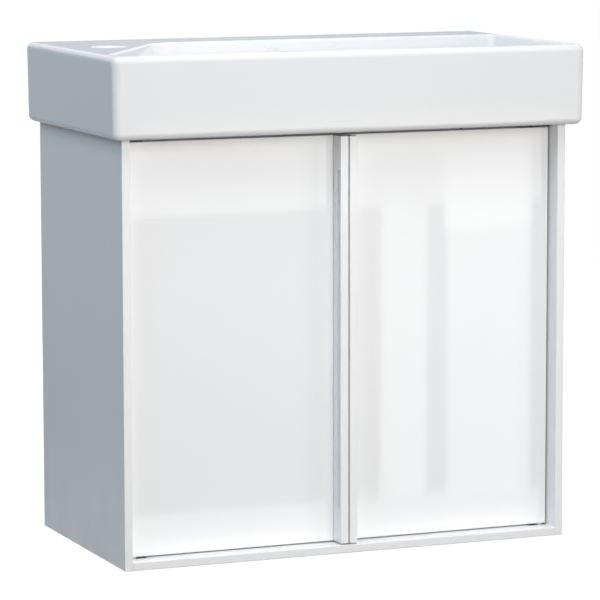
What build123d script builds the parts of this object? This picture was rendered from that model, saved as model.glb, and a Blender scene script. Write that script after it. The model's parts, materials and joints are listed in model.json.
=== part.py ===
from build123d import *
import math
import os

# Wall-hung vanity unit: ceramic basin on a two-door cabinet.
# Shapes are drawn in millimetres with X from the middle of the unit, Y from the wall
# (the front faces -Y) and Z from the cabinet's underside.
# Saving moves them down, so that the origin is the middle of the wall fixings.

# Overall
unit_width = 600.0
unit_depth = 320.0
basin_height = 96.0
cabinet_height = 504.0
unit_height = cabinet_height + basin_height
fixing_z = 450.0

# Cabinet
board = 10.0
board_edge = 1.0
cabinet_half = 283.0
inner_half = cabinet_half - board
cabinet_front = -300.0
rail_height = 50.0
rail_top = 496.0
front_rail_y = -258.0
rear_rail_y = -62.0
rear_rail_z = 424.0
rear_rail_height = 66.0
low_rail_y = -26.0
low_rail_height = 60.0
shelf_z = 236.0
shelf_front = -254.0
shelf_back = -66.0
shelf_play = 0.5

# Doors
door_front = -277.5
door_thick = 16.0
door_back = door_front + door_thick
door_bottom = board + 1.6
door_top = 498.5
door_side_gap = 2.0
meeting_gap = 1.4
lath_width = 10.0
lath_front = cabinet_front - 0.5
cove_depth = 4.0
cove_width = 9.0
cove_from_front = 7.5
cove_bottom = 51.5
cove_top = 458.5
pivot_in = 7.0
pivot_behind = 5.0
pivot_x = inner_half - door_side_gap - pivot_in
pivot_y = door_front + pivot_behind
pin_r = 2.5
bush_bore_r = 2.55
bush_r = 3.5
bush_length = 14.0
washer_r = 4.5

# Basin
basin_draft = 1.5
corner_front_r = 10.0
corner_back_r = 7.0
top_edge_r = 8.0
bottom_edge_r = 7.5
bowl_front = -307.0
bowl_back = -85.0
bowl_half = 288.0
bowl_left_turn = -275.0
bowl_diagonal_x = -165.0
bowl_depth = 82.0
bowl_insets = (7.0, 6.0, 7.0, 26.0, 34.0)
bowl_corner_r = 10.0
bowl_turn_r = 40.0
bowl_floor_r = 9.5
rim_edge_r = 3.8
deck_thick = 12.0
shell_wall = 14.0
bearing_half = 266.0
bearing_thick = 12.0
tap_x = -240.5
tap_y = -137.0
tap_r = 17.5
tap_lip_r = 6.0
drain_x = -10.0
drain_y = -200.0
drain_r = 22.5
boss_r = 36.0
boss_bottom = 494.0
dish_fall = 2.5
dish_reach = 90.0
duct_half = 9.0
duct_case_half = 19.0
duct_front = bowl_back + 16.0
duct_back = bowl_back + 28.0
duct_wall = 8.0
overflow_ring_r = 12.5
overflow_ring_thick = 1.5
overflow_z = 578.0
overflow_r = 9.0
basin_bolt_x = 140.0
basin_bolt_z = 552.0
basin_bolt_r = 6.0

# Waste and trap
barrel_r = 20.0
barrel_bore_r = 16.5
pipe_r = 16.0
pipe_bore_r = 14.5
recess_r = 32.0
recess_z = 513.0
seat_z = 514.5
flange_top = 516.5
barrel_end = 446.0
outlet_z = 365.0
bottle_r = 31.0
bottle_bottom = 285.0
bottle_top = 400.0
stem_r = 4.0
guide_bore_r = 4.08
seal_thick = 5.0
nut_flange = 2.0
nut_height = 8.0
nut_across = 52.0
guide_z = 478.0
guide_height = 12.0
plug_r = 29.0
plug_thick = 4.0
plug_lift = 2.0
plug_seal_gap = 0.4
bottle_wall = 3.5
cup_height = 34.0
neck_r = 20.0
neck_height = 12.0
grip_r = 26.0
grip_flute_r = 4.0
grip_height = 16.0
branch_end = -150.0
branch_socket = 14.0
outlet_end = -2.0
bead_r = 17.5
bead_y = -56.0
bead_wide = 3.0

# Wall fixings
plate_thick = 2.0
plate_inner_x = 204.0
plate_outer_x = 270.0
plate_half_height = 25.0
fixing_x = 226.0
fixing_spacing_z = 30.0
fixing_hole_r = 3.25
hook_x = 262.0
hanger_front = -48.0
hanger_back = -14.0

# Screws
screw_r = 1.75
head_r = 3.5
head_thick = 2.0
dowel_r = 3.0
steel = 2.0
board_bite = 7.0
fine_screw_r = 1.25
dowel_in_side = 6.0
dowel_length = 24.0


def block(x0, x1, y0, y1, z0, z1):
    middle = ((x0 + x1) / 2, (y0 + y1) / 2, (z0 + z1) / 2)
    return Pos(*middle) * Box(abs(x1 - x0), abs(y1 - y0), abs(z1 - z0))


def rod_x(x0, x1, y, z, r):
    return Pos((x0 + x1) / 2, y, z) * Rot(0, 90, 0) * Cylinder(r, abs(x1 - x0))


def rod_y(x, y0, y1, z, r):
    return Pos(x, (y0 + y1) / 2, z) * Rot(90, 0, 0) * Cylinder(r, abs(y1 - y0))


def rod_z(x, y, z0, z1, r):
    return Pos(x, y, (z0 + z1) / 2) * Cylinder(r, abs(z1 - z0))


def ring_z(x, y, z0, z1, outer, inner):
    return rod_z(x, y, z0, z1, outer) - rod_z(x, y, z0, z1, inner)


def mirrored(shape):
    return mirror(shape, about=Plane.YZ)


def both_sides(shapes):
    return list(shapes) + [mirrored(shape) for shape in shapes]


def cut(shape, tools):
    for tool in tools:
        shape = shape - tool
    return shape


def save(name, *shapes):
    moved = [Pos(0, 0, -fixing_z) * shape for shape in shapes]
    solids = [solid for shape in moved for solid in shape.solids()]
    whole = solids[0] if len(solids) == 1 else Compound(children=solids)
    whole.label = name
    export_step(whole, f"parts/{name}.step")


# Fasteners of the left half, which the boards are drilled for
def board_screw_x(x_face, y, z, length, side):
    shank = rod_x(x_face, x_face + side * length, y, z, screw_r)
    return shank + rod_x(x_face - side * head_thick, x_face, y, z, head_r)


def board_screw_y(x, y_face, z, length, side):
    shank = rod_y(x, y_face, y_face + side * length, z, screw_r)
    return shank + rod_y(x, y_face - side * head_thick, y_face, z, head_r)


def dowels_left():
    start = -inner_half - dowel_in_side
    end = start + dowel_length
    floor_dowels = [rod_x(start, end, y, board / 2, dowel_r) for y in (-225.0, -140.0, -55.0)]
    rail_rows = (
        (front_rail_y, (rail_top - 10.0, rail_top - rail_height + 10.0)),
        (rear_rail_y, (rear_rail_z + 12.0, rear_rail_z + rear_rail_height - 12.0)),
        (low_rail_y, (board + 15.0, board + low_rail_height - 15.0)),
    )
    rail_dowels = [
        rod_x(start, end, y + board / 2, z, dowel_r) for y, heights in rail_rows for z in heights
    ]
    return floor_dowels + rail_dowels


bracket_leg = 22.0
bracket_half = 8.0
bracket_hole = 14.0
bracket_places = (
    (front_rail_y + board, rail_top - 26.0, 1),
    (rear_rail_y, rear_rail_z + 33.0, -1),
    (low_rail_y, board + low_rail_height / 2, -1),
)


def bracket_screws_left():
    screws = []
    for y, z, side in bracket_places:
        hole_y = y + side * bracket_hole
        screws.append(board_screw_x(-inner_half + steel, hole_y, z, steel + board_bite, -1))
        screws.append(board_screw_y(-inner_half + bracket_hole, y + side * steel, z, steel + board_bite, -side))
    return screws


def rail_brackets_left():
    brackets = []
    for y, z, side in bracket_places:
        near = -inner_half
        leg_side = block(near, near + steel, y, y + side * bracket_leg, z - bracket_half, z + bracket_half)
        leg_rail = block(near, near + bracket_leg, y, y + side * steel, z - bracket_half, z + bracket_half)
        brackets.append(cut(leg_side + leg_rail, bracket_screws_left()))
    return brackets


# Door pivots
top_plate_z = 499.5
top_leg_z = 480.0
pivot_plate_front = -278.0
top_leg_front = -246.0
top_leg_back = -226.0
low_plate_back = -248.0
plate_reach = 24.0
top_screw_z = 489.0
top_screw_edge = 5.0
low_screw_y = low_plate_back - 5.0
low_screw_offsets = (10.0, -3.0)
top_pin_drop = 12.0
low_pin_rise = 12.0
low_pin_seat = 6.0
washer_thick = 0.95


def pivot_screws_left():
    face = -inner_half + steel
    places = (top_leg_front + top_screw_edge, top_leg_back - top_screw_edge)
    return [board_screw_x(face, y, top_screw_z, steel + board_bite, -1) for y in places]


def low_pivot_screws_left():
    screws = []
    sink = 1.5
    for offset in low_screw_offsets:
        x = -pivot_x + offset
        shank = rod_z(x, low_screw_y, board - board_bite, board, fine_screw_r)
        head = Pos(x, low_screw_y, board - sink / 2) * Cone(fine_screw_r, 2 * fine_screw_r, sink)
        screws.append(shank + head)
    return screws


def top_pivot_pin_left():
    return rod_z(-pivot_x, pivot_y, door_top - top_pin_drop, top_plate_z + steel, pin_r)


def low_pivot_pin_left():
    return rod_z(-pivot_x, pivot_y, board - low_pin_seat, door_bottom + low_pin_rise, pin_r)


def top_pivot_plate_left():
    near = -inner_half
    plate = block(near, near + plate_reach, pivot_plate_front, top_leg_back, top_plate_z, top_plate_z + steel)
    leg = block(near, near + steel, top_leg_front, top_leg_back, top_leg_z, top_plate_z)
    return cut(plate + leg, [top_pivot_pin_left()] + pivot_screws_left())


def low_plate_blank(top):
    near = -inner_half + 1.0
    return block(near, near + plate_reach, pivot_plate_front - 2.0, low_plate_back, board - steel, top)


def low_pivot_plate_left():
    return cut(low_plate_blank(board), [low_pivot_pin_left()] + low_pivot_screws_left())


def thrust_washer_left():
    return ring_z(-pivot_x, pivot_y, board, board + washer_thick, washer_r, pin_r)


# Magnetic catch under the front rail
catch_inner = 30.0
catch_outer = 62.0
catch_height = 12.0
catch_depth = 18.0
catch_z = rail_top - rail_height - catch_height
catch_screw_y = front_rail_y + 6.0
magnet_front = door_back + 2.1
magnet_end = 8.0
magnet_edge = 2.0
bumper_gap = 0.4
bumper_r = 4.0


def catch_screws_left():
    screws = []
    for x in (-catch_inner - 4.0, -catch_outer + 4.0):
        shank = rod_z(x, catch_screw_y, catch_z, catch_z + catch_height + board_bite, fine_screw_r)
        screws.append(shank + rod_z(x, catch_screw_y, catch_z - 1.5, catch_z, 2 * fine_screw_r))
    return screws


def catch_magnet_left():
    return block(-catch_outer + magnet_end, -catch_inner - magnet_end, magnet_front, front_rail_y + 8.0,
                 catch_z + magnet_edge, catch_z + catch_height - magnet_edge)


def catch_left():
    body = block(-catch_outer, -catch_inner, front_rail_y, front_rail_y + catch_depth,
                 catch_z, catch_z + catch_height)
    body = fillet(body.edges().filter_by(Axis.Y), 1.0)
    return cut(body, [catch_magnet_left()] + catch_screws_left())


def bumpers_left():
    front = door_back + bumper_gap
    return [rod_y(x, front, front_rail_y, rail_top - 22.0, bumper_r) for x in (-20.0, -236.0)]


# Hanging: a hanger on each side panel hooks onto a plate on the wall
lip_reach = 9.0
lip_rise = 10.0
hanger_width = 20.0
hanger_screw_y = -31.0
hanger_screw_heights = (fixing_z + 2.0, fixing_z + 24.0)
adjuster_heights = (fixing_z + 12.5, fixing_z + 34.0)
adjuster_r = 3.0
hook_half = 4.0
hook_back = -3.2
hook_thick = 3.0
hook_drop = 7.0


def hanger_screws_left():
    screws = []
    face = -inner_half + hanger_width
    for z in hanger_screw_heights:
        shank = rod_x(-inner_half - dowel_in_side, face, hanger_screw_y, z, 2.0)
        screws.append(shank + rod_x(face, face + 2.5, hanger_screw_y, z, 4.0))
    return screws


def hanger_adjusters_left():
    screws = []
    for z in adjuster_heights:
        shank = rod_y(-hook_x, hanger_front - 2.0, hanger_front + 10.0, z, adjuster_r)
        slot = block(-hook_x - 2.5, -hook_x + 2.5, hanger_front - 3.0, hanger_front - 1.0, z - 0.5, z + 0.5)
        screws.append(shank - slot)
    return screws


def hanger_hook_left():
    top = fixing_z + plate_half_height + lip_rise
    low_x, high_x = -hook_x - hook_half, -hook_x + hook_half
    arm = block(low_x, high_x, 2 * hanger_back, hook_back, top, top + 4.0)
    nose = block(low_x, high_x, hook_back - hook_thick, hook_back, top - hook_drop, top)
    return fillet((arm + nose).edges().filter_by(Axis.X), 0.6)


def hanger_body_left():
    body = block(-inner_half, -inner_half + hanger_width, hanger_front, hanger_back,
                 fixing_z - 8.0, fixing_z + 42.0)
    body = fillet(body.edges().filter_by(Axis.Y), 2.0)
    return cut(body, [hanger_hook_left()] + hanger_screws_left() + hanger_adjusters_left())


def wall_plate_left():
    low = fixing_z - plate_half_height
    high = fixing_z + plate_half_height
    plate = block(-plate_outer_x, -plate_inner_x, -plate_thick, 0, low, high)
    ledge = block(-plate_outer_x, -plate_inner_x, -lip_reach, 0, high - plate_thick, high)
    lip = block(-plate_outer_x, -plate_inner_x, -lip_reach, -lip_reach + plate_thick, high - plate_thick,
                high + lip_rise)
    plate = plate + ledge + lip
    for side in (-1, 1):
        z = fixing_z + side * fixing_spacing_z / 2
        plate = plate - rod_y(-fixing_x, -5.0, 1.0, z, fixing_hole_r)
    return plate


# Boards of the cabinet
def shelf_pins_left():
    pins = []
    for y in (shelf_front + 26.0, shelf_back - 26.0):
        z = shelf_z - pin_r
        pins.append(rod_x(-inner_half - dowel_in_side, -inner_half + 9.0, y, z, pin_r))
    return pins


def side_panel_left():
    panel = block(-cabinet_half, -inner_half, cabinet_front, 0, 0, cabinet_height)
    panel = fillet(panel.edges(), board_edge)
    fasteners = dowels_left() + bracket_screws_left() + pivot_screws_left()
    fasteners += hanger_screws_left() + shelf_pins_left()
    return cut(panel, fasteners)


def bottom_panel():
    panel = block(-inner_half, inner_half, cabinet_front, 0, 0, board)
    panel = fillet(panel.edges().filter_by(Axis.X), board_edge)
    left_tools = dowels_left()[:3] + [low_pivot_pin_left()] + low_pivot_screws_left()
    left_tools.append(low_plate_blank(board + 1.0))
    return cut(panel, both_sides(left_tools))


def front_rail():
    rail = block(-inner_half, inner_half, front_rail_y, front_rail_y + board, rail_top - rail_height, rail_top)
    tools = dowels_left()[3:5] + bracket_screws_left()[:2] + catch_screws_left()
    return cut(rail, both_sides(tools))


def rear_top_rail():
    rail = block(-inner_half, inner_half, rear_rail_y, rear_rail_y + board, rear_rail_z,
                 rear_rail_z + rear_rail_height)
    tools = dowels_left()[5:7] + bracket_screws_left()[2:4]
    for z in adjuster_heights:
        tools.append(rod_y(-hook_x + 6.0, rear_rail_y - 1.0, rear_rail_y + board + 1.0, z, 5.0))
    return cut(rail, both_sides(tools))


def rear_bottom_rail():
    rail = block(-inner_half, inner_half, low_rail_y, low_rail_y + board, board, board + low_rail_height)
    tools = dowels_left()[7:9] + bracket_screws_left()[4:6]
    return cut(rail, both_sides(tools))


def shelf():
    half = inner_half - shelf_play
    panel = block(-half, half, shelf_front, shelf_back, shelf_z, shelf_z + board)
    return fillet(panel.edges(), board_edge)


# Doors
lath_outer = meeting_gap / 2
lath_inner = lath_outer + lath_width
door_outer = inner_half - door_side_gap
door_edge = 0.8
lath_edge = 0.8
lath_dowel_first = 40.0
lath_dowel_pitch = 135.0
strike_thick = 1.5


def door_bushes_left():
    low = rod_z(-pivot_x, pivot_y, door_bottom, door_bottom + bush_length, bush_r)
    low = low + rod_z(-pivot_x, pivot_y, board + 1.0, door_bottom, washer_r)
    low = low - rod_z(-pivot_x, pivot_y, board, door_bottom + bush_length, bush_bore_r)
    high = ring_z(-pivot_x, pivot_y, door_top - bush_length, door_top, bush_r, bush_bore_r)
    return [low, high]


def lath_dowels_left():
    heights = [door_bottom + lath_dowel_first + step * lath_dowel_pitch for step in range(4)]
    y = (door_front + door_back) / 2
    return [rod_x(-lath_inner - 15.0, -lath_inner + board_bite, y, z, dowel_r) for z in heights]


def strike_screw_left():
    x = -(catch_inner + catch_outer) / 2
    z = catch_z + catch_height / 2
    shank = rod_y(x, door_back - board_bite, door_back, z, 1.5)
    head = Pos(x, door_back + strike_thick / 2, z) * Rot(-90, 0, 0) * Cone(1.5, 2.8, strike_thick)
    return shank + head


def strike_plate_left():
    plate = block(-catch_outer + 4.0, -catch_inner - 4.0, door_back, door_back + strike_thick,
                  catch_z, catch_z + catch_height)
    plate = fillet(plate.edges().filter_by(Axis.Y), 2.0)
    return plate - strike_screw_left()


def door_panel_left():
    panel = block(-door_outer, -lath_inner, door_front, door_back, door_bottom, door_top)
    panel = fillet(panel.edges(), door_edge)
    sockets = [
        rod_z(-pivot_x, pivot_y, door_bottom - 1.0, door_bottom + bush_length, bush_r),
        rod_z(-pivot_x, pivot_y, door_top - bush_length, door_top + 1.0, bush_r),
    ]
    return cut(panel, sockets + lath_dowels_left() + [strike_screw_left()])


def door_lath_left():
    lath = block(-lath_inner, -lath_outer, lath_front, door_back, door_bottom, door_top)
    lath = fillet(lath.edges(), lath_edge)
    cove_r = ((cove_width / 2) ** 2 + cove_depth ** 2) / (2 * cove_depth)
    cove_x = -lath_inner + cove_depth - cove_r
    cove_y = lath_front + cove_from_front
    groove = rod_z(cove_x, cove_y, cove_bottom + cove_r, cove_top - cove_r, cove_r)
    for z in (cove_bottom + cove_r, cove_top - cove_r):
        groove = groove + Pos(cove_x, cove_y, z) * Sphere(cove_r)
    return cut(lath, [groove] + lath_dowels_left())


# Basin
def inset_corners(points, insets):
    count = len(points)
    lines = []
    for index in range(count):
        (x0, y0), (x1, y1) = points[index], points[(index + 1) % count]
        length = math.hypot(x1 - x0, y1 - y0)
        nx, ny = -(y1 - y0) / length, (x1 - x0) / length
        lines.append((nx, ny, nx * x0 + ny * y0 + insets[index]))
    corners = []
    for index in range(count):
        a, b, c = lines[index - 1]
        d, e, f = lines[index]
        det = a * e - b * d
        corners.append(((c * e - b * f) / det, (a * f - c * d) / det))
    return corners


def frustum(top, bottom, z_top, z_bottom):
    high = [(x, y, z_top) for x, y in top]
    low = [(x, y, z_bottom) for x, y in bottom]
    rings = [high, low]
    rings += [[high[i - 1], high[i], low[i], low[i - 1]] for i in range(len(top))]
    faces = [Face(Wire.make_polygon([Vector(*p) for p in ring], close=True)) for ring in rings]
    return Solid(Shell(faces))


def bowl_rim():
    return [
        (-bowl_half, bowl_front),
        (bowl_half, bowl_front),
        (bowl_half, bowl_back),
        (bowl_diagonal_x, bowl_back),
        (-bowl_half, bowl_left_turn),
    ]


def basin_blank():
    spare = 20.0
    outline = Pos(0, (spare - unit_depth) / 2, unit_height) * Rectangle(unit_width, unit_depth + spare)
    outline = fillet(outline.vertices().group_by(Axis.Y)[0], corner_front_r)
    draft = math.degrees(math.atan(basin_draft / basin_height))
    blank = extrude(outline, -basin_height, taper=draft)
    blank = blank & block(-310.0, 310.0, -330.0, 0, cabinet_height - 5.0, unit_height + 5.0)
    upright = [
        edge for edge in blank.edges()
        if abs(edge.center().Y) < 1.0 and abs(edge.tangent_at(0.5).Z) > 0.9
    ]
    blank = fillet(upright, corner_back_r)
    blank = fillet(blank.faces().sort_by(Axis.Z)[-1].edges(), top_edge_r)
    return fillet(blank.faces().sort_by(Axis.Z)[0].edges(), bottom_edge_r)


# Upright edges of the bowl, the one of its blunt turn first
def upright_edges(tool):
    upright = [edge for edge in tool.edges() if abs(edge.tangent_at(0.5).Z) > 0.3]
    return sorted(upright, key=lambda edge: abs(edge.center().X - bowl_diagonal_x))


def bowl_tool():
    rim = bowl_rim()
    floor = inset_corners(rim, bowl_insets)
    tool = frustum(rim, floor, unit_height, unit_height - bowl_depth)
    tool = fillet(upright_edges(tool)[1:], bowl_corner_r)
    tool = fillet(upright_edges(tool)[0], bowl_turn_r)
    return fillet(tool.faces().sort_by(Axis.Z)[0].edges(), bowl_floor_r)


def deck_hollow(half, z0, z1):
    dx, dy = bowl_diagonal_x + bowl_half, bowl_back - bowl_left_turn
    length = math.hypot(dx, dy)
    start_x = -bowl_half - shell_wall * dy / length
    start_y = bowl_left_turn + shell_wall * dx / length
    front = bowl_back + shell_wall - 2.0
    turn_x = start_x + (front - start_y) * dx / dy
    side_y = start_y + (-half - start_x) * dy / dx
    points = [(half, -shell_wall), (half, front), (turn_x, front), (-half, side_y), (-half, -shell_wall)]
    outline = Pos(0, 0, z0) * make_face(Polyline(*points, close=True))
    outline = fillet(outline.vertices(), 8.0)
    return extrude(outline, z1 - z0)


def basin():
    body = basin_blank() - bowl_tool()
    top = body.faces().filter_by(Axis.Z).sort_by(Axis.Z)[-1]
    body = fillet(top.inner_wires()[0].edges(), rim_edge_r)
    floor_z = unit_height - bowl_depth
    body = body - deck_hollow(bearing_half, cabinet_height - 1.0, cabinet_height + bearing_thick + 1.0)
    body = body - deck_hollow(unit_width / 2 - shell_wall, cabinet_height + bearing_thick,
                              unit_height - deck_thick)
    body = body - rod_z(tap_x, tap_y, unit_height - 30.0, unit_height + 1.0, tap_r)
    lip = [
        edge for edge in body.edges().filter_by(GeomType.CIRCLE)
        if abs(edge.radius - tap_r) < 0.01 and edge.center().Z > unit_height - 0.1
    ]
    body = fillet(lip, tap_lip_r)
    left, right = drain_x - duct_case_half, drain_x + duct_case_half
    case_back = duct_back + duct_wall
    case = block(left, right, bowl_back + 6.0, case_back, boss_bottom, unit_height - deck_thick + 1.0)
    run = block(left, right, drain_y, case_back, boss_bottom, cabinet_height + 1.0)
    body = body + case + run + rod_z(drain_x, drain_y, boss_bottom, cabinet_height + 1.0, boss_r)
    dish = Cone(recess_r + 6.0, recess_r + dish_reach, dish_fall)
    body = body - Pos(drain_x, drain_y, floor_z - dish_fall / 2) * dish
    body = body - rod_z(drain_x, drain_y, recess_z, floor_z + 1.0, recess_r)
    body = body - rod_z(drain_x, drain_y, boss_bottom - 1.0, floor_z, drain_r)
    left, right = drain_x - duct_half, drain_x + duct_half
    body = body - block(left, right, duct_front, duct_back, boss_bottom + 4.0, overflow_z + 10.0)
    body = body - block(left, right, drain_y, duct_back, boss_bottom + 4.0, cabinet_height - 1.0)
    body = body - rod_y(drain_x, bowl_back - 20.0, duct_back - 2.0, overflow_z, overflow_r)
    for side in (-1, 1):
        body = body - rod_y(side * basin_bolt_x, -shell_wall - 1.0, 1.0, basin_bolt_z, basin_bolt_r)
    return body


def overflow_ring():
    wall_y = bowl_back - bowl_insets[2] * (unit_height - overflow_z) / bowl_depth
    tilt = math.degrees(math.atan(bowl_insets[2] / bowl_depth))
    frame = Pos(drain_x, wall_y, overflow_z) * Rot(90 - tilt, 0, 0)
    face = Pos(0, 0, overflow_ring_thick / 2) * Cylinder(overflow_ring_r, overflow_ring_thick)
    face = fillet(face.edges().sort_by(Axis.Z)[-1], 1.2)
    sleeve = Pos(0, 0, -4.0) * Cylinder(overflow_r - 1.2, 8.0)
    bore = Cylinder(overflow_r - 2.2, 40.0)
    return frame * (face + sleeve - bore)


# Waste with its push plug
def waste_body():
    flange = rod_z(drain_x, drain_y, seat_z, flange_top, recess_r - 1.0)
    flange = fillet(flange.edges().group_by(Axis.Z)[-1], 1.2)
    body = flange + rod_z(drain_x, drain_y, barrel_end, seat_z, barrel_r)
    body = body - rod_z(drain_x, drain_y, barrel_end - 1.0, flange_top + 1.0, barrel_bore_r)
    slot = block(drain_x - 6.0, drain_x + 6.0, drain_y - recess_r, drain_y + recess_r,
                 boss_bottom + 4.0, cabinet_height - 1.0)
    return body - slot


def waste_top_seal():
    return ring_z(drain_x, drain_y, recess_z, seat_z, recess_r - 1.5, drain_r)


def waste_low_seal():
    return ring_z(drain_x, drain_y, boss_bottom - seal_thick, boss_bottom, boss_r - seal_thick, barrel_r)


def hex_nut(z0, z1, across, bore):
    outline = Pos(drain_x, drain_y, z0) * RegularPolygon(across / 2, 6, major_radius=False)
    return extrude(outline, z1 - z0) - rod_z(drain_x, drain_y, z0 - 1.0, z1 + 1.0, bore)


def waste_nut():
    top = boss_bottom - seal_thick
    low = top - nut_flange
    flange = ring_z(drain_x, drain_y, low, top, boss_r - seal_thick, barrel_r)
    return flange + hex_nut(low - nut_height, low, nut_across, barrel_r)


def plug_guide():
    top = guide_z + guide_height
    guide = rod_z(drain_x, drain_y, guide_z, top, 7.0)
    for turn in range(3):
        arm = Pos(9.0, 0, 3.0) * Box(18.0, 3.0, 6.0)
        guide = guide + Pos(drain_x, drain_y, guide_z) * Rot(0, 0, 120 * turn) * arm
    guide = guide & rod_z(drain_x, drain_y, guide_z, top, barrel_bore_r)
    return guide - rod_z(drain_x, drain_y, guide_z - 1.0, top + 1.0, guide_bore_r)


def waste_plug():
    base = flange_top + plug_lift
    disc = rod_z(drain_x, drain_y, base, base + plug_thick, plug_r)
    return fillet(disc.edges().group_by(Axis.Z)[-1], 3.0)


def plug_seal():
    return ring_z(drain_x, drain_y, flange_top + plug_seal_gap, flange_top + plug_lift, 21.0, 8.0)


def plug_stem():
    return rod_z(drain_x, drain_y, guide_z - 6.0, flange_top + plug_lift, stem_r)


# Bottle trap
def fluted_nut(end, height, socket_r, lip):
    nut = Cylinder(grip_r, height)
    for turn in range(8):
        flute = Pos(grip_r + grip_flute_r * 0.6, 0, 0) * Cylinder(grip_flute_r, height + 2.0)
        nut = nut - Rot(0, 0, 45 * turn) * flute
    nut = nut - Pos(0, 0, end * lip) * Cylinder(socket_r, height) - Cylinder(pipe_r, height + 2.0)
    return nut


def trap_top_nut():
    height = grip_height + 4.0
    return Pos(drain_x, drain_y, barrel_end - 8.0 + height / 2) * fluted_nut(1, height, barrel_r, 5.0)


def trap_inlet_pipe():
    flange = rod_z(drain_x, drain_y, barrel_end - 3.0, barrel_end, barrel_r - 0.3)
    pipe = rod_z(drain_x, drain_y, bottle_bottom + 30.0, barrel_end, pipe_r) + flange
    return pipe - rod_z(drain_x, drain_y, bottle_bottom + 29.0, barrel_end + 1.0, pipe_bore_r)


def trap_inlet_nut():
    middle = bottle_top + 2.0 + grip_height / 2
    return Pos(drain_x, drain_y, middle) * fluted_nut(-1, grip_height, neck_r, 6.0)


def trap_body():
    low = bottle_bottom + cup_height
    hollow_r = bottle_r - bottle_wall
    body = rod_z(drain_x, drain_y, low, bottle_top, bottle_r)
    body = fillet(body.edges().group_by(Axis.Z)[-1], 6.0)
    body = body + rod_z(drain_x, drain_y, bottle_top - 1.0, bottle_top + neck_height, neck_r)
    body = body + rod_y(drain_x, drain_y, branch_end, outlet_z, neck_r)
    body = body - rod_z(drain_x, drain_y, low - 1.0, bottle_top - 2 * bottle_wall, hollow_r)
    body = body - rod_z(drain_x, drain_y, low, bottle_top + neck_height + 1.0, pipe_r)
    body = body - rod_y(drain_x, drain_y, branch_end + 1.0, outlet_z, pipe_bore_r)
    return body - rod_y(drain_x, branch_end - branch_socket, branch_end + 1.0, outlet_z, pipe_r)


def trap_cup():
    top = bottle_bottom + cup_height
    cup = rod_z(drain_x, drain_y, bottle_bottom, top, bottle_r)
    cup = fillet(cup.edges().group_by(Axis.Z)[0], 8.0)
    cup = cup + ring_z(drain_x, drain_y, top - 12.0, top, bottle_r + 3.0, bottle_r - 1.0)
    return cup - rod_z(drain_x, drain_y, bottle_bottom + 4.0, top + 1.0, bottle_r - bottle_wall)


def trap_outlet_pipe():
    pipe = rod_y(drain_x, branch_end - branch_socket, outlet_end, outlet_z, pipe_r)
    pipe = pipe + rod_y(drain_x, bead_y, bead_y + bead_wide, outlet_z, bead_r)
    return pipe - rod_y(drain_x, branch_end - branch_socket - 1.0, 0, outlet_z, pipe_bore_r)


def trap_outlet_nut():
    middle = branch_end - 10.0 + grip_height / 2
    return Pos(drain_x, middle, outlet_z) * Rot(-90, 0, 0) * fluted_nut(-1, grip_height, neck_r, 6.0)


def main():
    os.makedirs("parts", exist_ok=True)

    save("left_side_panel", side_panel_left())
    save("right_side_panel", mirrored(side_panel_left()))
    save("bottom_panel", bottom_panel())
    save("front_rail", front_rail())
    save("rear_top_rail", rear_top_rail())
    save("rear_bottom_rail", rear_bottom_rail())
    save("shelf", shelf())
    save("shelf_pins", *both_sides(shelf_pins_left()))
    save("carcass_dowels", *both_sides(dowels_left()))
    save("rail_brackets", *both_sides(rail_brackets_left()))
    save("bracket_screws", *both_sides(bracket_screws_left()))
    save("top_pivot_plates", *both_sides([top_pivot_plate_left()]))
    save("top_pivot_pins", *both_sides([top_pivot_pin_left()]))
    save("bottom_pivot_plates", *both_sides([low_pivot_plate_left()]))
    save("bottom_pivot_pins", *both_sides([low_pivot_pin_left()]))
    save("thrust_washers", *both_sides([thrust_washer_left()]))
    save("pivot_screws", *both_sides(pivot_screws_left() + low_pivot_screws_left()))
    save("catch_housings", *both_sides([catch_left()]))
    save("catch_magnets", *both_sides([catch_magnet_left()]))
    save("catch_screws", *both_sides(catch_screws_left()))
    save("door_bumpers", *both_sides(bumpers_left()))
    save("hanger_bodies", *both_sides([hanger_body_left()]))
    save("hanger_hooks", *both_sides([hanger_hook_left()]))
    save("hanger_adjusters", *both_sides(hanger_adjusters_left()))
    save("hanger_screws", *both_sides(hanger_screws_left()))
    save("wall_plates", *both_sides([wall_plate_left()]))

    for side, turn in (("left", list), ("right", lambda shapes: [mirrored(shape) for shape in shapes])):
        save(f"{side}_door_panel", *turn([door_panel_left()]))
        save(f"{side}_door_lath", *turn([door_lath_left()]))
        save(f"{side}_lath_dowels", *turn(lath_dowels_left()))
        save(f"{side}_door_bushes", *turn(door_bushes_left()))
        save(f"{side}_strike_plate", *turn([strike_plate_left()]))
        save(f"{side}_strike_screw", *turn([strike_screw_left()]))

    save("basin", basin())
    save("overflow_ring", overflow_ring())
    save("waste_body", waste_body())
    save("waste_top_seal", waste_top_seal())
    save("waste_low_seal", waste_low_seal())
    save("waste_nut", waste_nut())
    save("plug_guide", plug_guide())
    save("waste_plug", waste_plug())
    save("plug_seal", plug_seal())
    save("plug_stem", plug_stem())
    save("trap_top_nut", trap_top_nut())
    save("trap_inlet_pipe", trap_inlet_pipe())
    save("trap_inlet_nut", trap_inlet_nut())
    save("trap_body", trap_body())
    save("trap_cup", trap_cup())
    save("trap_outlet_nut", trap_outlet_nut())
    save("trap_outlet_pipe", trap_outlet_pipe())


main()
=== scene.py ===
import json
import math

import bmesh
import bpy
from mathutils import Matrix, Vector


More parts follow.
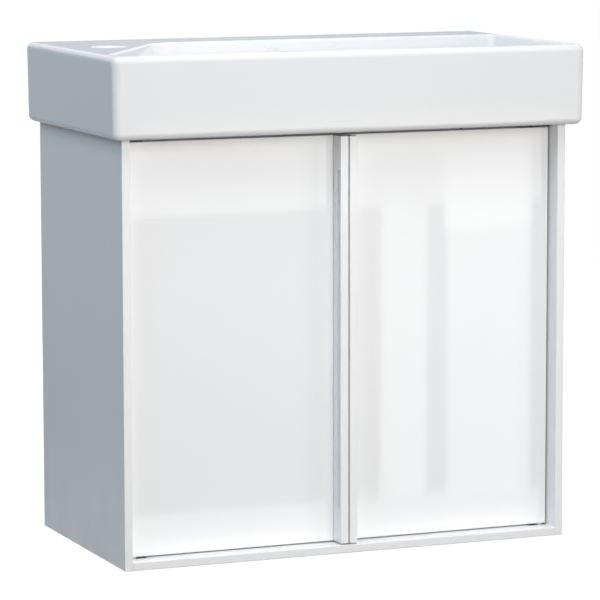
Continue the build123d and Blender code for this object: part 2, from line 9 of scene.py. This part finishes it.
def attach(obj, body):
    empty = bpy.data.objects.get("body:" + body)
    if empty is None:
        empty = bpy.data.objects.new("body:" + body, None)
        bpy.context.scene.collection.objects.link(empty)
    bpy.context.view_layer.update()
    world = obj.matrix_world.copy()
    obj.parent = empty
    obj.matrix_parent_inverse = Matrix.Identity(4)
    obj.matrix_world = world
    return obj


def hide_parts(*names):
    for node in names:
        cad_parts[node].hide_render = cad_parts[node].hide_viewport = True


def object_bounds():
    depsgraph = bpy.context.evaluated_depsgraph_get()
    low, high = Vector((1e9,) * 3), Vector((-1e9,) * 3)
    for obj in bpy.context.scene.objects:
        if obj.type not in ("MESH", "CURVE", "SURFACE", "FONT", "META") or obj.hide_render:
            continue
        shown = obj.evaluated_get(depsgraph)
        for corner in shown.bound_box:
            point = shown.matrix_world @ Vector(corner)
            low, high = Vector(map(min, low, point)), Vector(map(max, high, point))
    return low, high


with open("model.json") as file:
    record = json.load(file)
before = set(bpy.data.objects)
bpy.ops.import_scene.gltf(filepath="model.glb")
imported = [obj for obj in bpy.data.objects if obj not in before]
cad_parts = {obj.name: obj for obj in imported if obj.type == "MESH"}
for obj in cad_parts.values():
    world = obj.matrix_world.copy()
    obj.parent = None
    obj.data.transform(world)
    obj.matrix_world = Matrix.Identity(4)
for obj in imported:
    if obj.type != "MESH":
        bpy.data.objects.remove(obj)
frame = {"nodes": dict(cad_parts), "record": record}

cadLow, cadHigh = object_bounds()
nodes = frame["nodes"]
slotOfNode = {part["node"]: part["material_slot"] for part in frame["record"]["subparts"]}
print("frame loaded:", len(nodes), "nodes")

# Sockets of a colour mix: its first colour, its second colour and its result
mixFirst, mixSecond, mixResult = 6, 7, 2


# Node helpers
def newMaterial(name):
    material = bpy.data.materials.new(name)
    material.use_nodes = True
    tree = material.node_tree
    shader = tree.nodes["Principled BSDF"]
    return material, tree, shader


def addNode(tree, kind, **sockets):
    node = tree.nodes.new(kind)
    for name, value in sockets.items():
        node.inputs[name.replace("_", " ")].default_value = value
    return node


def addMath(tree, operation, second=None):
    node = tree.nodes.new("ShaderNodeMath")
    node.operation = operation
    if second is not None:
        node.inputs[1].default_value = second
    return node


def addColourMix(tree):
    node = tree.nodes.new("ShaderNodeMix")
    node.data_type = "RGBA"
    return node


def wire(tree, source, output, target, name):
    tree.links.new(source.outputs[output], target.inputs[name])


# A finish that is never quite even: soft cloudy tone, changing gloss and a fine skin. A noise
# with no scale here takes it from each finish
skinInputs = {
    "Tone": "Color", "Shade": "Color", "Cloud Scale": "Float", "Roughness Low": "Float",
    "Roughness High": "Float", "Skin Scale": "Float", "Skin Height": "Float",
    "Wave Height": "Float",
}
skinOutputs = {"Colour": "Color", "Roughness": "Float", "Height": "Float"}
skinNoises = {
    "cloud": {"Detail": 4.0, "Roughness": 0.55},
    "smear": {"Detail": 2.0, "Roughness": 0.5, "Scale": 23.0},
    "skin": {"Detail": 1.0, "Roughness": 0.5},
    "wave": {"Detail": 0.0, "Scale": 9.0},
}
smearRange = (0.35, 0.65)


def makeUnevenSkin():
    group = bpy.data.node_groups.new("unevenSkin", "ShaderNodeTree")
    for side, sockets in (("INPUT", skinInputs), ("OUTPUT", skinOutputs)):
        for label, kind in sockets.items():
            group.interface.new_socket(label, in_out=side, socket_type="NodeSocket" + kind)
    source = group.nodes.new("NodeGroupInput")
    target = group.nodes.new("NodeGroupOutput")
    place = group.nodes.new("ShaderNodeTexCoord")
    noises = [addNode(group, "ShaderNodeTexNoise", **look) for look in skinNoises.values()]
    for noise in noises:
        wire(group, place, "Object", noise, "Vector")
    cloud, smear, skin, wave = noises
    wire(group, source, "Cloud Scale", cloud, "Scale")
    wire(group, source, "Skin Scale", skin, "Scale")
    tone = addColourMix(group)
    wire(group, cloud, "Fac", tone, "Factor")
    wire(group, source, "Shade", tone, mixFirst)
    wire(group, source, "Tone", tone, mixSecond)
    gloss = addNode(group, "ShaderNodeMapRange", From_Min=smearRange[0], From_Max=smearRange[1])
    wire(group, smear, "Fac", gloss, "Value")
    wire(group, source, "Roughness Low", gloss, "To Min")
    wire(group, source, "Roughness High", gloss, "To Max")
    fine = addMath(group, "MULTIPLY")
    wire(group, skin, "Fac", fine, 0)
    wire(group, source, "Skin Height", fine, 1)
    broad = addMath(group, "MULTIPLY_ADD")
    wire(group, wave, "Fac", broad, 0)
    wire(group, source, "Wave Height", broad, 1)
    wire(group, fine, 0, broad, 2)
    wire(group, tone, mixResult, target, "Colour")
    wire(group, gloss, "Result", target, "Roughness")
    wire(group, broad, 0, target, "Height")
    return group


unevenSkin = makeUnevenSkin()

# Finishes: tone and shade in linear colour, scale of the cloudy change between them, least and
# most roughness, scale and height of the skin, height of the wave, and depth of the bump in metres
finishes = {
    "ceramic": {
        "tone": (0.790, 0.793, 0.800), "shade": (0.772, 0.777, 0.787), "cloud": 5.0,
        "rough": (0.06, 0.11), "skin": (260.0, 0.10), "wave": 0.30, "bump": 0.0006, "coat": 0.4,
    },
    "white_board": {
        "tone": (0.87, 0.873, 0.88), "shade": (0.845, 0.85, 0.86), "cloud": 4.0,
        "rough": (0.34, 0.44), "skin": (700.0, 0.5), "wave": 0.10, "bump": 0.0002,
    },
    "gloss_board": {
        "tone": (0.885, 0.888, 0.893), "shade": (0.865, 0.869, 0.878), "cloud": 3.0,
        "rough": (0.035, 0.06), "skin": (340.0, 0.05), "wave": 0.25, "bump": 0.0003, "coat": 0.8,
    },
    "lath_white": {
        "tone": (0.88, 0.883, 0.89), "shade": (0.86, 0.865, 0.873), "cloud": 6.0,
        "rough": (0.16, 0.24), "skin": (500.0, 0.15), "wave": 0.15, "bump": 0.0002, "coat": 0.3,
    },
    "nylon": {
        "tone": (0.74, 0.735, 0.70), "shade": (0.69, 0.68, 0.65), "cloud": 40.0,
        "rough": (0.38, 0.5), "skin": (1500.0, 0.3), "wave": 0.0, "bump": 0.0001, "ior": 1.53,
    },
    "white_plastic": {
        "tone": (0.80, 0.80, 0.79), "shade": (0.76, 0.76, 0.755), "cloud": 18.0,
        "rough": (0.24, 0.36), "skin": (1200.0, 0.35), "wave": 0.1, "bump": 0.0001,
    },
    "rubber": {
        "tone": (0.028, 0.028, 0.03), "shade": (0.018, 0.018, 0.019), "cloud": 60.0,
        "rough": (0.55, 0.72), "skin": (1800.0, 0.5), "wave": 0.0, "bump": 0.0002,
    },
    "clear_pad": {
        "tone": (0.62, 0.63, 0.63), "shade": (0.55, 0.56, 0.565), "cloud": 60.0,
        "rough": (0.2, 0.32), "skin": (900.0, 0.2), "wave": 0.0, "bump": 0.0001, "ior": 1.42,
    },
    "magnet": {
        "tone": (0.055, 0.055, 0.06), "shade": (0.035, 0.035, 0.038), "cloud": 90.0,
        "rough": (0.35, 0.5), "skin": (2200.0, 0.6), "wave": 0.0, "bump": 0.0002,
    },
    "chrome": {
        "tone": (0.89, 0.895, 0.905), "shade": (0.84, 0.85, 0.87), "cloud": 30.0,
        "rough": (0.05, 0.10), "skin": (900.0, 0.05), "wave": 0.1, "bump": 0.0001, "metal": 1.0,
    },
    "zinc": {
        "tone": (0.50, 0.515, 0.535), "shade": (0.38, 0.395, 0.42), "cloud": 120.0,
        "rough": (0.28, 0.42), "skin": (1400.0, 0.4), "wave": 0.1, "bump": 0.0002, "metal": 1.0,
    },
    # Near-black steel as painted shade, given to the pivot plates so that the gap above the doors
    # looks shaded
    "gapShadeSteel": {
        "tone": (0.12, 0.12, 0.125), "shade": (0.08, 0.08, 0.085), "cloud": 90.0,
        "rough": (0.35, 0.5), "skin": (1400.0, 0.4), "wave": 0.0, "bump": 0.0001, "metal": 1.0,
    },
    "brass": {
        "tone": (0.68, 0.52, 0.26), "shade": (0.58, 0.42, 0.19), "cloud": 90.0,
        "rough": (0.22, 0.34), "skin": (1500.0, 0.3), "wave": 0.0, "bump": 0.0001, "metal": 1.0,
    },
}
usualIor, coatRoughness = 1.5, 0.04


def skinMaterial(name, look):
    material, tree, shader = newMaterial(name)
    skin = tree.nodes.new("ShaderNodeGroup")
    skin.node_tree = unevenSkin
    values = {
        "Tone": (*look["tone"], 1), "Shade": (*look["shade"], 1), "Cloud Scale": look["cloud"],
        "Roughness Low": look["rough"][0], "Roughness High": look["rough"][1],
        "Skin Scale": look["skin"][0], "Skin Height": look["skin"][1],
        "Wave Height": look["wave"],
    }
    for label, value in values.items():
        skin.inputs[label].default_value = value
    bump = addNode(tree, "ShaderNodeBump", Strength=1.0, Distance=look["bump"])
    wire(tree, skin, "Height", bump, "Height")
    wire(tree, skin, "Colour", shader, "Base Color")
    wire(tree, skin, "Roughness", shader, "Roughness")
    wire(tree, bump, "Normal", shader, "Normal")
    shader.inputs["Metallic"].default_value = look.get("metal", 0.0)
    shader.inputs["IOR"].default_value = look.get("ior", usualIor)
    if "coat" in look:
        shader.inputs["Coat Weight"].default_value = look["coat"]
        shader.inputs["Coat Roughness"].default_value = coatRoughness
    return material


# The basin's back and bearing rim are left unglazed: matt, a little warmer, without the coat
bareLook = {"tone": (0.76, 0.745, 0.71, 1), "rough": 0.78, "backY": -0.0012, "underZ": 0.0548}


def leaveBare(material):
    tree = material.node_tree
    shader = tree.nodes["Principled BSDF"]
    glazed = shader.inputs["Base Color"].links[0].from_node
    place = tree.nodes.new("ShaderNodeTexCoord")
    axes = tree.nodes.new("ShaderNodeSeparateXYZ")
    back = addMath(tree, "GREATER_THAN", bareLook["backY"])
    under = addMath(tree, "LESS_THAN", bareLook["underZ"])
    bare = addMath(tree, "MAXIMUM")
    wire(tree, place, "Object", axes, "Vector")
    wire(tree, axes, "Y", back, 0)
    wire(tree, axes, "Z", under, 0)
    wire(tree, back, 0, bare, 0)
    wire(tree, under, 0, bare, 1)
    tone = addColourMix(tree)
    tone.inputs[mixSecond].default_value = bareLook["tone"]
    gloss = addNode(tree, "ShaderNodeMapRange", To_Max=bareLook["rough"])
    fullCoat = shader.inputs["Coat Weight"].default_value
    coat = addNode(tree, "ShaderNodeMapRange", To_Min=fullCoat, To_Max=0.0)
    wire(tree, glazed, "Colour", tone, mixFirst)
    wire(tree, glazed, "Roughness", gloss, "To Min")
    wire(tree, bare, 0, tone, "Factor")
    wire(tree, bare, 0, gloss, "Value")
    wire(tree, bare, 0, coat, "Value")
    wire(tree, tone, mixResult, shader, "Base Color")
    wire(tree, gloss, "Result", shader, "Roughness")
    wire(tree, coat, "Result", shader, "Coat Weight")


# Beech dowels, with the grain drawn out along their length
beechLook = {
    "dark": (0.36, 0.22, 0.11, 1), "pale": (0.52, 0.36, 0.21, 1), "change": (0.3, 0.6),
    "stretch": (0.15, 1.0, 1.0), "rough": 0.55,
    "grain": {"Scale": 240.0, "Detail": 5.0, "Distortion": 0.6},
    "bump": {"Strength": 0.4, "Distance": 0.0003},
}


def beechMaterial():
    material, tree, shader = newMaterial("beech")
    place = tree.nodes.new("ShaderNodeTexCoord")
    stretch = addNode(tree, "ShaderNodeMapping", Scale=beechLook["stretch"])
    grain = addNode(tree, "ShaderNodeTexNoise", **beechLook["grain"])
    ramp = tree.nodes.new("ShaderNodeValToRGB")
    stops = ramp.color_ramp.elements
    stops[0].color, stops[1].color = beechLook["dark"], beechLook["pale"]
    stops[0].position, stops[1].position = beechLook["change"]
    bump = addNode(tree, "ShaderNodeBump", **beechLook["bump"])
    wire(tree, place, "Object", stretch, "Vector")
    wire(tree, stretch, "Vector", grain, "Vector")
    wire(tree, grain, "Fac", ramp, "Fac")
    wire(tree, grain, "Fac", bump, "Height")
    wire(tree, ramp, "Color", shader, "Base Color")
    wire(tree, bump, "Normal", shader, "Normal")
    shader.inputs["Roughness"].default_value = beechLook["rough"]
    return material


materials = {name: skinMaterial(name, look) for name, look in finishes.items()}
materials["beech"] = beechMaterial()
leaveBare(materials["ceramic"])
for name, node in nodes.items():
    node.data.materials.clear()
    node.data.materials.append(materials[slotOfNode[name]])
# Painted shade: the pivot plates are blackened so that the gap above the doors stays dark, standing
# in for the shade there
nodes["top_pivot_plates"].data.materials[0] = materials["gapShadeSteel"]
print("materials:", len(materials))

# Small turned pieces and screws, in the drawing's millimetres, whose heights start at the
# underside of the cabinet
drawingZ = 450.0
millimetre = 0.001
mergeWithin = 0.0005
sharpAngle = 40.0


def inMetres(x, y, z):
    return Vector((x, y, z - drawingZ)) * millimetre


def turned(profile, steps):
    shape = bmesh.new()
    points = [shape.verts.new((radius, 0, height)) for radius, height in profile]
    edges = [shape.edges.new(pair) for pair in zip(points, points[1:])]
    bmesh.ops.spin(shape, geom=points + edges, cent=(0, 0, 0), axis=(0, 0, 1), angle=math.tau,
                   steps=steps, use_merge=True)
    bmesh.ops.remove_doubles(shape, verts=shape.verts, dist=mergeWithin)
    return shape


def stamped(shape, template, spots):
    mesh = bpy.data.meshes.new("stamp")
    template.to_mesh(mesh)
    for place, axis in spots:
        known = len(shape.verts)
        shape.from_mesh(mesh)
        shape.verts.ensure_lookup_table()
        fresh = shape.verts[known:]
        turn = Vector((0, 0, 1)).rotation_difference(Vector(axis)).to_matrix().to_4x4()
        bmesh.ops.transform(shape, matrix=turn, verts=fresh)
        bmesh.ops.scale(shape, vec=(millimetre,) * 3, verts=fresh)
        bmesh.ops.translate(shape, vec=inMetres(*place), verts=fresh)
    bpy.data.meshes.remove(mesh)


def meshObject(shape, name, material):
    mesh = bpy.data.meshes.new(name)
    shape.to_mesh(mesh)
    shape.free()
    mesh.materials.append(material)
    item = bpy.data.objects.new(name, mesh)
    bpy.context.scene.collection.objects.link(item)
    return item


def finishPiece(shape, name, body, slot, stands, sharp=sharpAngle):
    bmesh.ops.recalc_face_normals(shape, faces=shape.faces)
    for face in shape.faces:
        face.smooth = True
    for edge in shape.edges:
        if len(edge.link_faces) == 2 and edge.calc_face_angle(0) > math.radians(sharp):
            edge.smooth = False
    piece = meshObject(shape, name, materials[slot])
    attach(piece, body)
    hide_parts(*stands)


# A screw stands on its seat at height 0: pan heads rise above it, countersunk heads end flush.
# Rims run outwards from the flat, in shares of the head's radius and of its rise, or in
# millimetres of height where it has no rise. The cross recess is in shares of the flat, and its
# depth in shares of the head's radius
screwShape = {
    "steps": 32, "tip": 1.0,
    "panRim": ((0.74, 1.0), (0.88, 0.9), (0.97, 0.62), (1.0, 0.3), (1.0, 0.0)),
    "sunkRim": ((0.9, 0.0), (0.97, -0.06), (1.0, -0.16)),
    "crossReach": 0.62, "crossArm": 0.13, "crossDepth": 0.31,
    "reachTaper": 0.45, "armTaper": 0.8,
}
screwKinds = {
    "board": {"shank": 1.75, "head": 3.5, "rise": 2.0, "length": 9.0, "sunk": 0.0},
    "hanger": {"shank": 2.0, "head": 4.0, "rise": 2.5, "length": 26.0, "sunk": 0.0},
    "catch": {"shank": 1.25, "head": 2.5, "rise": 1.5, "length": 19.0, "sunk": 0.0},
    "pivot": {"shank": 1.25, "head": 2.5, "rise": 0.0, "length": 7.0, "sunk": 1.5},
    "strike": {"shank": 1.5, "head": 2.8, "rise": 0.0, "length": 8.5, "sunk": 1.5},
}
gridCells = 3
closeTo = 0.0001


def makeScrew(look):
    head, shank, rise, length = look["head"], look["shank"], look["rise"], look["length"]
    if rise:
        rim = [(head * share, rise * part) for share, part in screwShape["panRim"]]
    else:
        rim = [(head * share, height) for share, height in screwShape["sunkRim"]]
    stem = [(shank, -look["sunk"]), (shank, screwShape["tip"] - length), (0.0, -length)]
    shape = turned(rim + stem, screwShape["steps"])
    flat = rim[0][0]
    reach, arm = flat * screwShape["crossReach"], flat * screwShape["crossArm"]
    bmesh.ops.create_grid(shape, x_segments=gridCells, y_segments=gridCells, size=reach,
                          matrix=Matrix.Translation((0, 0, rise)))
    shape.verts.ensure_lookup_table()
    cross = shape.verts[-(gridCells + 1) ** 2:]
    for vert in cross:
        for axis in (0, 1):
            size = arm if abs(vert.co[axis]) < reach / 2 else reach
            vert.co[axis] = math.copysign(size, vert.co[axis])
    tiles = list(dict.fromkeys(face for vert in cross for face in vert.link_faces))
    middles = {face: face.calc_center_median() for face in tiles}
    corners = [face for face, middle in middles.items() if min(abs(middle.x), abs(middle.y)) > arm]
    floor = [face for face in tiles if face not in corners]
    bmesh.ops.delete(shape, geom=corners, context="FACES")
    outline = [edge for face in floor for edge in face.edges if len(edge.link_faces) == 1]
    rimEdges = [edge for edge in shape.edges if len(edge.link_faces) == 1 and edge not in outline
                and all(abs(vert.co.z - rise) < closeTo for vert in edge.verts)]
    down = bmesh.ops.extrude_face_region(shape, geom=floor, use_keep_orig=False)
    sunkVerts = [item for item in down["geom"] if isinstance(item, bmesh.types.BMVert)]
    depth = head * screwShape["crossDepth"]
    bmesh.ops.translate(shape, vec=(0, 0, -depth), verts=sunkVerts)
    for vert in sunkVerts:
        for axis in (0, 1):
            taper = "reachTaper" if abs(vert.co[axis]) > arm + closeTo else "armTaper"
            vert.co[axis] *= screwShape[taper]
    bmesh.ops.triangle_fill(shape, use_beauty=True, use_dissolve=False, edges=rimEdges + outline)
    return shape


# Spots are places and the ways their heads look, for the left half; the right half mirrors them
panelFace, bracketThick, bracketHole = -273.0, 2.0, 14.0
seatFace = panelFace + bracketThick
bracketSpots = []
for y, z, side in ((-248.0, 470.0, 1), (-62.0, 457.0, -1), (-26.0, 40.0, -1)):
    bracketSpots.append(((seatFace, y + side * bracketHole, z), (1, 0, 0)))
    bracketSpots.append(((panelFace + bracketHole, y + side * bracketThick, z), (0, side, 0)))
screwRows = {
    "bracket_screws": {"board": bracketSpots},
    "pivot_screws": {
        "board": [((seatFace, y, 489.0), (1, 0, 0)) for y in (-241.0, -231.0)],
        "pivot": [((x, -253.0, 10.0), (0, 0, 1)) for x in (-254.0, -267.0)],
    },
    "catch_screws": {"catch": [((x, -252.0, 434.0), (0, 0, -1)) for x in (-34.0, -58.0)]},
    "hanger_screws": {"hanger": [((-253.0, -31.0, z), (1, 0, 0)) for z in (452.0, 474.0)]},
}
strikeSpots = [((-46.0, -260.0, 440.0), (0, 1, 0))]


def mirroredSpots(spots):
    return [((-x, y, z), (-ax, ay, az)) for (x, y, z), (ax, ay, az) in spots]


def makeScrews():
    templates = {kind: makeScrew(look) for kind, look in screwKinds.items()}
    for name, spotsOfKind in screwRows.items():
        shape = bmesh.new()
        for kind, spots in spotsOfKind.items():
            stamped(shape, templates[kind], spots + mirroredSpots(spots))
        finishPiece(shape, name + "_crossHeads", "cabinet", "zinc", [name])
    for side, spots in (("left", strikeSpots), ("right", mirroredSpots(strikeSpots))):
        shape = bmesh.new()
        stamped(shape, templates["strike"], spots)
        name, stand = side + "_strikeScrew_crossHead", side + "_strike_screw"
        finishPiece(shape, name, side + "_door", "zinc", [stand])
    for template in templates.values():
        template.free()


makeScrews()

# Push plug: a slightly domed cap with a rolled lip. Its curve runs from the underside round the
# lip to the top, as distance in from the edge and height
plugLook = {
    "centre": (-10.0, -200.0, 518.5), "radius": 29.0, "height": 4.0, "steps": 96, "sharp": 60.0,
    "curve": ((4.0, 0.0), (0.6, 0.5), (0.0, 1.0), (0.15, 1.45), (0.6, 1.8), (2.0, 2.25),
              (6.0, 2.85), (12.0, 3.5), (20.0, 3.88)),
}


def makePlug():
    curve = [(plugLook["radius"] - inward, height) for inward, height in plugLook["curve"]]
    cap = turned([(0.0, 0.0)] + curve + [(0.0, plugLook["height"])], plugLook["steps"])
    shape = bmesh.new()
    stamped(shape, cap, [(plugLook["centre"], (0, 0, 1))])
    cap.free()
    finishPiece(shape, "plugCap", "push_plug", "chrome", ["waste_plug"], plugLook["sharp"])


makePlug()

# Soft clear buffers that the doors close against
bufferLook = {
    "radius": 4.0, "foot": 1.4, "front": -261.1, "back": -258.0, "places": (-20.0, -236.0),
    "height": 474.0, "steps": 40, "rings": 8,
}


def makeBuffers():
    radius, foot, back, rings = (bufferLook[key] for key in ("radius", "foot", "back", "rings"))
    tall = back - bufferLook["front"]
    angles = [ring / rings * math.pi / 2 for ring in range(1, rings)]
    curve = [(radius * math.cos(turn), foot + (tall - foot) * math.sin(turn)) for turn in angles]
    profile = [(0.0, 0.0), (radius, 0.0), (radius, foot)] + curve + [(0.0, tall)]
    dome = turned(profile, bufferLook["steps"])
    spots = [((x, back, bufferLook["height"]), (0, -1, 0)) for x in bufferLook["places"]]
    shape = bmesh.new()
    stamped(shape, dome, spots + mirroredSpots(spots))
    dome.free()
    finishPiece(shape, "doorBuffers", "cabinet", "clear_pad", ["door_bumpers"])


makeBuffers()
print("screws, plug and buffers made")


# One for rays from the eye, a mirror or glass, nought for the rays that carry light
def seenOrShiny(tree):
    rays = tree.nodes.new("ShaderNodeLightPath")
    first = addMath(tree, "MAXIMUM")
    second = addMath(tree, "MAXIMUM")
    wire(tree, rays, "Is Camera Ray", first, 0)
    wire(tree, rays, "Is Glossy Ray", first, 1)
    wire(tree, first, 0, second, 0)
    wire(tree, rays, "Is Transmission Ray", second, 1)
    return second


# Floor some way under the hanging cabinet: it takes shadows, is lifted to white for the eye,
# and is clear from below
floorLook = {"drop": 0.27, "size": 80.0, "tone": (0.11, 0.11, 0.11, 1), "rough": 0.9, "lift": 0.985}
floorZ = cadLow.z - floorLook["drop"]


def makeFloor():
    shape = bmesh.new()
    bmesh.ops.create_grid(shape, x_segments=1, y_segments=1, size=floorLook["size"] / 2)
    bmesh.ops.translate(shape, vec=(0, 0, floorZ), verts=shape.verts)
    material, tree, shader = newMaterial("paleFloor")
    shader.inputs["Base Color"].default_value = floorLook["tone"]
    shader.inputs["Roughness"].default_value = floorLook["rough"]
    shader.inputs["Specular IOR Level"].default_value = 0.0
    lift = tree.nodes.new("ShaderNodeEmission")
    strength = addMath(tree, "MULTIPLY", floorLook["lift"])
    wire(tree, seenOrShiny(tree), 0, strength, 0)
    wire(tree, strength, 0, lift, "Strength")
    both = tree.nodes.new("ShaderNodeAddShader")
    wire(tree, shader, 0, both, 0)
    wire(tree, lift, 0, both, 1)
    below = tree.nodes.new("ShaderNodeNewGeometry")
    clear = tree.nodes.new("ShaderNodeBsdfTransparent")
    choose = tree.nodes.new("ShaderNodeMixShader")
    wire(tree, below, "Backfacing", choose, 0)
    wire(tree, both, 0, choose, 1)
    wire(tree, clear, 0, choose, 2)
    wire(tree, choose, 0, tree.nodes["Material Output"], "Surface")
    floor = meshObject(shape, "floor", material)


makeFloor()

# World: white to the eye and in reflections, plain and dimmer as light
worldLook = {"light": 0.17, "tone": (0.76, 0.89, 1.0, 1), "seen": (1, 1, 1, 1)}


def makeWorld():
    world = bpy.data.worlds.new("studio")
    world.use_nodes = True
    bpy.context.scene.world = world
    tree = world.node_tree
    tree.nodes.clear()
    plain = addNode(tree, "ShaderNodeBackground", Color=worldLook["tone"],
                    Strength=worldLook["light"])
    white = addNode(tree, "ShaderNodeBackground", Color=worldLook["seen"], Strength=1.0)
    choose = tree.nodes.new("ShaderNodeMixShader")
    output = tree.nodes.new("ShaderNodeOutputWorld")
    wire(tree, seenOrShiny(tree), 0, choose, 0)
    wire(tree, plain, 0, choose, 1)
    wire(tree, white, 0, choose, 2)
    wire(tree, choose, 0, output, "Surface")


makeWorld()

# Lamps: place and aim in metres, width and height of the softbox, power in watts
lampSet = {
    "keyFront": {
        "place": (0.25, -5.0, 0.9), "aim": (0.1, -0.2, 0.0), "size": (1.3, 1.6), "power": 25.0,
        "tone": (1.0, 0.975, 0.95),
    },
    "nearFront": {
        "place": (-0.05, -1.6, 0.15), "aim": (-0.05, 0, -0.1), "size": (0.46, 1.0), "power": 8.9,
        "tone": (1.0, 0.97, 0.94),
    },
    "overhead": {
        "place": (0.2, -1.25, 2.5), "aim": (0, -0.15, 0), "size": (2.2, 1.6), "power": 32.5,
    },
    "highLeft": {
        "place": (-2.3, -1.0, 2.0), "aim": (-0.28, -0.15, 0.0), "size": (1.8, 2.2), "power": 39.5,
        "tone": (0.78, 0.90, 1.0),
    },
    "backLeft": {
        "place": (-1.0, 0.55, 0.35), "aim": (-0.28, -0.05, -0.1), "size": (0.8, 0.8), "power": 1.0,
        "tone": (0.86, 0.94, 1.0),
    },
    "overBowl": {
        "place": (-0.18, -0.2, 0.42), "aim": (0.28, -0.2, 0.12), "size": (0.15, 0.15),
        "power": 0.50,
    },
    "behind": {
        "place": (0.4, 3.4, 0.5), "aim": (0, 0, -0.1), "size": (1.8, 1.4), "power": 38.0,
        "tone": (0.95, 0.98, 1.0),
    },
    "fillRight": {
        "place": (3.4, -2.6, 0.9), "aim": (0, -0.2, 0.1), "size": (1.6, 1.6), "power": 33.8,
        "tone": (1.0, 0.98, 0.965),
    },
}
# Strip lights that only show as reflections in the gloss fronts: sides in x, sides in z, glow
stripSet = {
    "stripWideTop": {"across": (0.557, 0.702), "up": (-0.186, -0.071), "glow": 2.1},
    "stripUpper": {"across": (0.050, 0.740), "up": (-0.147, -0.055), "glow": 1.3},
    "stripCream": {
        "across": (0.050, 0.740), "up": (-0.055, -0.037), "glow": 1.0, "tone": (1.0, 0.84, 0.55),
    },
    "stripWide": {"across": (0.562, 0.702), "up": (-0.590, -0.152), "glow": 1.5},
    "stripNarrow": {"across": (0.454, 0.529), "up": (-0.583, -0.147), "glow": 1.5},
    "stripLow": {"across": (0.050, 0.740), "up": (-0.700, -0.583), "glow": 1.1},
}
stripFront = -1.2
plainWhite = (1.0, 1.0, 1.0)


def addLamp(name, look):
    lamp = bpy.data.lights.new(name, "AREA")
    lamp.shape = "RECTANGLE"
    lamp.size, lamp.size_y = look["size"]
    lamp.energy = look["power"]
    lamp.color = look.get("tone", plainWhite)
    holder = bpy.data.objects.new(name, lamp)
    bpy.context.scene.collection.objects.link(holder)
    holder.location = look["place"]
    ahead = Vector(look["aim"]) - Vector(look["place"])
    holder.rotation_euler = ahead.to_track_quat("-Z", "Y").to_euler()
    holder.visible_camera = False
    return holder


def makeLamps():
    for name, look in lampSet.items():
        addLamp(name, look).visible_glossy = False
    for name, look in stripSet.items():
        (left, right), (low, high) = look["across"], look["up"]
        width, height = right - left, high - low
        x, z = (left + right) / 2, (low + high) / 2
        power = look["glow"] * math.pi * width * height
        strip = dict(look, place=(x, stripFront, z), aim=(x, 0, z), size=(width, height),
                     power=power)
        addLamp(name, strip).visible_diffuse = False


# Grey-blue screen behind the cabinet that only shows as a reflection
screenLook = {"back": 1.6, "width": 9.0, "height": 1.2, "tone": (0.55, 0.59, 0.65, 1)}


def makeScreen():
    width, height = screenLook["width"], screenLook["height"]
    shape = bmesh.new()
    bmesh.ops.create_grid(shape, x_segments=1, y_segments=1, size=0.5)
    bmesh.ops.scale(shape, vec=(width, height, 1), verts=shape.verts)
    upright = Matrix.Rotation(math.radians(90), 3, "X")
    bmesh.ops.rotate(shape, cent=(0, 0, 0), matrix=upright, verts=shape.verts)
    middle = (0, screenLook["back"], floorZ + height / 2)
    bmesh.ops.translate(shape, vec=middle, verts=shape.verts)
    material, tree, shader = newMaterial("greyScreen")
    glow = addNode(tree, "ShaderNodeEmission", Color=screenLook["tone"], Strength=1.0)
    wire(tree, glow, 0, tree.nodes["Material Output"], "Surface")
    screen = meshObject(shape, "screen", material)
    screen.visible_camera = False
    screen.visible_diffuse = False
    screen.visible_shadow = False


makeScreen()
makeLamps()
print("floor, world and lamps set")

# Camera at the photograph's viewing angle, in metres, degrees and millimetres of lens; yaw turns
# towards +X, pitch looks down, reach is the farthest thing drawn
cameraView = {
    "place": (-1.6148, -4.0882, 0.4049), "yaw": 22.28, "pitch": 7.615, "roll": -0.103,
    "lens": 211.0, "sensor": 36.0, "reach": 200.0,
}


def makeCamera():
    lens = bpy.data.cameras.new("photoView")
    lens.lens = cameraView["lens"]
    lens.sensor_width = cameraView["sensor"]
    lens.clip_end = cameraView["reach"]
    camera = bpy.data.objects.new("photoView", lens)
    bpy.context.scene.collection.objects.link(camera)
    yaw = Matrix.Rotation(math.radians(-cameraView["yaw"]), 4, "Z")
    pitch = Matrix.Rotation(math.radians(90 - cameraView["pitch"]), 4, "X")
    roll = Matrix.Rotation(math.radians(cameraView["roll"]), 4, "Z")
    camera.matrix_world = Matrix.Translation(cameraView["place"]) @ yaw @ pitch @ roll
    bpy.context.scene.camera = camera


makeCamera()
bpy.context.scene.view_settings.view_transform = "Standard"
